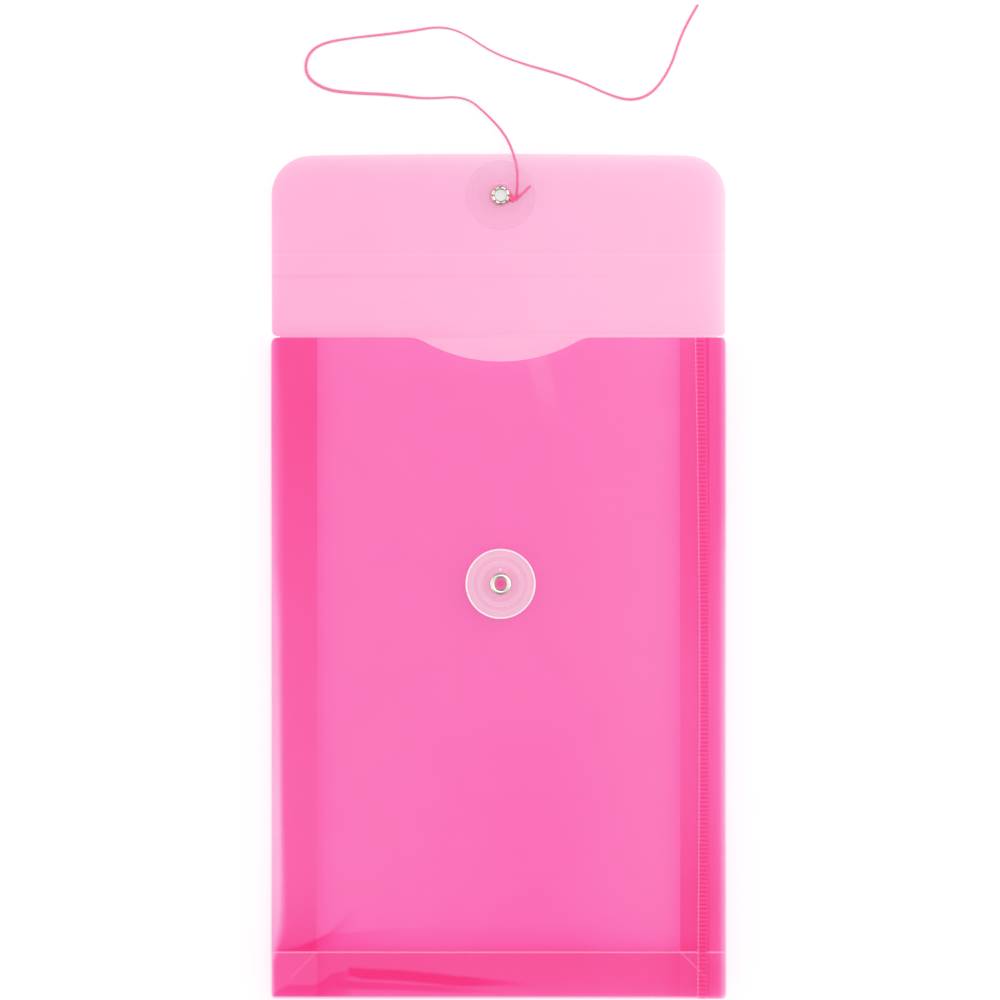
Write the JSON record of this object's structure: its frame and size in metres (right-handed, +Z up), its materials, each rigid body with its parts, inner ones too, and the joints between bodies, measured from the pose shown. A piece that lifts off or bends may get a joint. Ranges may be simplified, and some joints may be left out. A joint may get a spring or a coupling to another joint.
{
  "type": "string tie envelope",
  "caption": "Translucent film envelope with expanding gussets and a scored flap, closed by winding a string round a riveted button disc on the flap and one on the front.",
  "frame": {"origin": "on the surface that the envelope lies on, under the middle of its outline with the flap open", "axes": "+Y from the closed base towards the open flap, +Z up out of the front, +X to the right of the front"},
  "size_m": [0.108, 0.236, 0.008],
  "materials": {
    "film": "translucent pink polypropylene film, satin",
    "disc": "clear moulded plastic",
    "eyelet": "nickel plated, bright",
    "string": "twisted cotton thread"
  },
  "bodies": {
    "back": {"back_panel": "film"},
    "right_back_leaf": {"right_gusset_back_leaf": "film"},
    "right_front_leaf": {"right_gusset_front_leaf": "film"},
    "front": {"front_panel": "film", "seam_tab": "film", "front_button_eyelet": "eyelet"},
    "left_back_leaf": {"left_gusset_back_leaf": "film"},
    "left_front_leaf": {"left_gusset_front_leaf": "film"},
    "bottom_back_leaf": {"bottom_gusset_back_leaf": "film"},
    "bottom_front_leaf": {"bottom_gusset_front_leaf": "film"},
    "flap_spine": {"flap_spine": "film"},
    "flap": {"flap_panel": "film", "flap_button_eyelet": "eyelet", "string_knot": "string", "string": "string"},
    "front_disc": {"front_button_disc": "disc"},
    "flap_disc": {"flap_button_disc": "disc"}
  },
  "joints": [
    {"name": "gusset_expand", "type": "hinge", "parent": "back", "child": "right_back_leaf", "pos_m": [0.05387, 0, 0.00052], "axis": [0, 1, 0], "range_deg": [-8.5, 32], "stiffness_Nm_per_rad": 0.03, "springref_deg": 2.86},
    {"name": "right_inner_fold", "type": "hinge", "parent": "right_back_leaf", "child": "right_front_leaf", "pos_m": [0.04312, 0, 0.0029], "axis": [0, 1, 0], "range_deg": [-64, 17]},
    {"name": "right_front_fold", "type": "hinge", "parent": "right_front_leaf", "child": "front", "pos_m": [0.05387, 0, 0.00528], "axis": [0, 1, 0], "range_deg": [-8.5, 32]},
    {"name": "left_back_fold", "type": "hinge", "parent": "back", "child": "left_back_leaf", "pos_m": [-0.05387, 0, 0.00052], "axis": [0, -1, 0], "range_deg": [-8.5, 32]},
    {"name": "left_front_fold", "type": "hinge", "parent": "front", "child": "left_front_leaf", "pos_m": [-0.05387, 0, 0.00528], "axis": [0, 1, 0], "range_deg": [-8.5, 32]},
    {"name": "bottom_back_fold", "type": "hinge", "parent": "back", "child": "bottom_back_leaf", "pos_m": [0, -0.09993, 0.00093], "axis": [1, 0, 0], "range_deg": [-8.5, 32]},
    {"name": "bottom_front_fold", "type": "hinge", "parent": "front", "child": "bottom_front_leaf", "pos_m": [0, -0.09993, 0.00487], "axis": [-1, 0, 0], "range_deg": [-8.5, 32]},
    {"name": "flap_root_fold", "type": "hinge", "parent": "back", "child": "flap_spine", "pos_m": [0, 0.05695, 0.00013], "axis": [1, 0, 0], "range_deg": [0, 86]},
    {"name": "flap_score_fold", "type": "hinge", "parent": "flap_spine", "child": "flap", "pos_m": [0, 0.0761, 0.00144], "axis": [1, 0, 0], "range_deg": [0, 90]},
    {"name": "front_button_turn", "type": "hinge", "parent": "front", "child": "front_disc", "pos_m": [0.0005, -0.00185, 0.0058], "axis": [0, 0, 1], "continuous": true},
    {"name": "flap_button_turn", "type": "hinge", "parent": "flap", "child": "flap_disc", "pos_m": [0.0005, 0.09028, 0.00228], "axis": [0, -0.0682, 0.9977], "continuous": true}
  ],
  "couplings": [
    {"joint": "right_inner_fold", "follows": "gusset_expand", "ratio": -2},
    {"joint": "right_front_fold", "follows": "gusset_expand", "ratio": 1},
    {"joint": "left_back_fold", "follows": "gusset_expand", "ratio": 1},
    {"joint": "left_front_fold", "follows": "gusset_expand", "ratio": 1},
    {"joint": "bottom_back_fold", "follows": "gusset_expand", "ratio": 1},
    {"joint": "bottom_front_fold", "follows": "gusset_expand", "ratio": 1}
  ]
}
